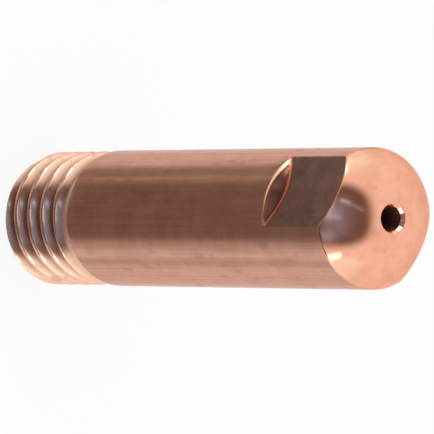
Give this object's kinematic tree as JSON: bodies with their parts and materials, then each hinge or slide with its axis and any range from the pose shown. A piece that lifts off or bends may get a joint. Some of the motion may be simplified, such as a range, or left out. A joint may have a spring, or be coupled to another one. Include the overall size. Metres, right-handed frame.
{
  "type": "welding contact tip",
  "caption": "Turned copper contact tip with a threaded end, plain round body, wrench flats, domed nose and a through bore that guides and powers the welding wire.",
  "frame": {"origin": "centre of the threaded end's face, on which the tip stands", "axes": "+Z along the wire bore from the threaded end to the nose, -Y and +Y out of the wrench flats"},
  "size_m": [0.006, 0.006, 0.025],
  "materials": {
    "copper": "turned copper, satin, with a bright freshly cut nose"
  },
  "bodies": {
    "root": {"contact_tip": "copper"}
  },
  "joints": []
}
